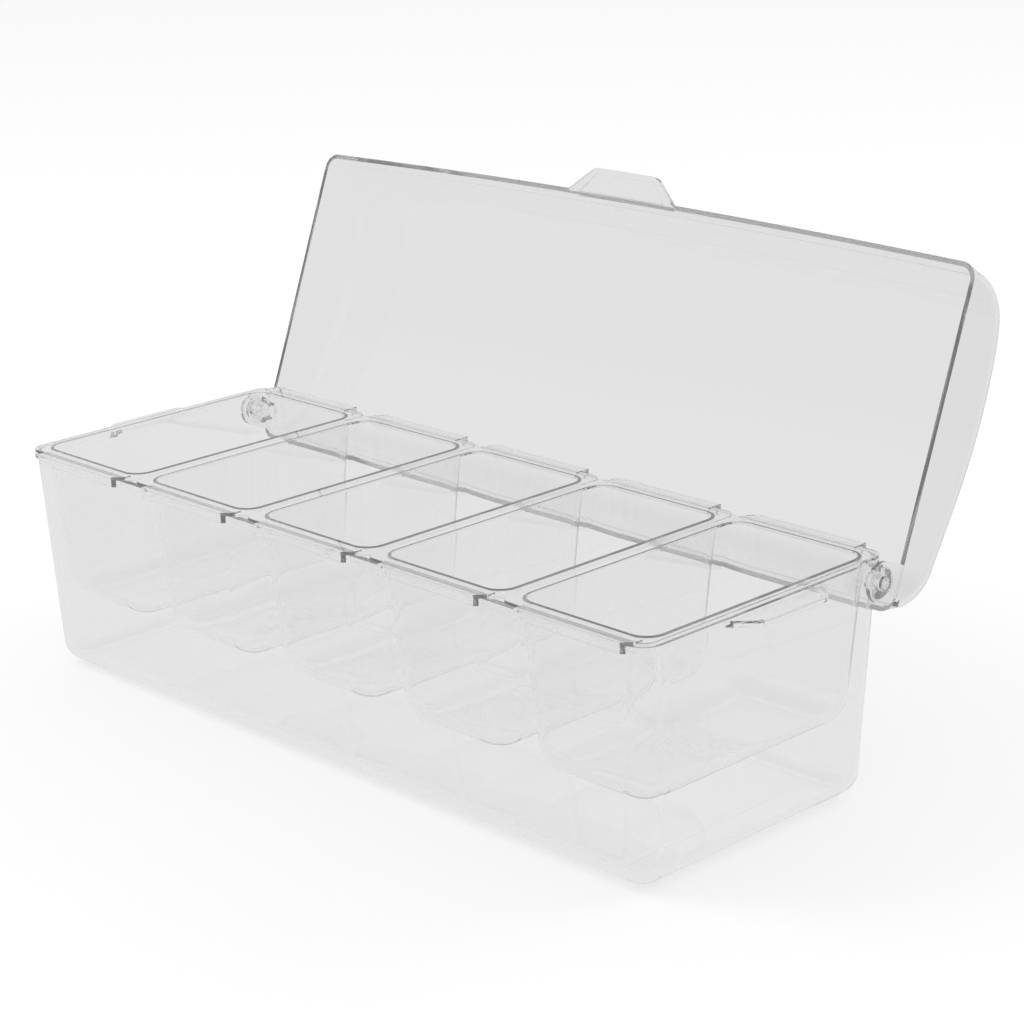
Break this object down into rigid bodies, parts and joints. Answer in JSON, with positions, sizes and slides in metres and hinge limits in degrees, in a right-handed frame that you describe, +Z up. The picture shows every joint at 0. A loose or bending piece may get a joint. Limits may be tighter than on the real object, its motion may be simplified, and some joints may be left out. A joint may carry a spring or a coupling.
{
  "type": "condiment caddy",
  "caption": "Clear plastic condiment caddy: a long ice tub with end handles, lift-out trays that hook over its rim, and a domed lid that swings back on hinge pins.",
  "frame": {"origin": "centre of the tub's foot ring, on the plane it rests on", "axes": "+X along the tub from the left end to the right, +Y towards the hinge side, +Z up"},
  "size_m": [0.406, 0.2162, 0.2254],
  "materials": {
    "tub": "clear, polished",
    "tray": "clear, polished",
    "lid": "clear, polished",
    "hinge_pin": "clear, polished"
  },
  "bodies": {
    "tub": {"tub": "tub", "hinge_pin_left": "hinge_pin", "hinge_pin_right": "hinge_pin"},
    "tray_1": {"tray_1": "tray"},
    "tray_2": {"tray_2": "tray"},
    "tray_3": {"tray_3": "tray"},
    "tray_4": {"tray_4": "tray"},
    "tray_5": {"tray_5": "tray"},
    "lid": {"lid": "lid"}
  },
  "joints": [
    {"name": "lid_hinge", "type": "hinge", "parent": "tub", "child": "lid", "pos_m": [0, 0.0639, 0.0941], "axis": [-1, 0, 0], "range_deg": [-111, 0]},
    {"name": "tray_1_lift", "type": "slide", "parent": "tub", "child": "tray_1", "axis": [0, 0, 1], "range_m": [0, 0.1]},
    {"name": "tray_2_lift", "type": "slide", "parent": "tub", "child": "tray_2", "axis": [0, 0, 1], "range_m": [0, 0.1]},
    {"name": "tray_3_lift", "type": "slide", "parent": "tub", "child": "tray_3", "axis": [0, 0, 1], "range_m": [0, 0.1]},
    {"name": "tray_4_lift", "type": "slide", "parent": "tub", "child": "tray_4", "axis": [0, 0, 1], "range_m": [0, 0.1]},
    {"name": "tray_5_lift", "type": "slide", "parent": "tub", "child": "tray_5", "axis": [0, 0, 1], "range_m": [0, 0.1]}
  ]
}
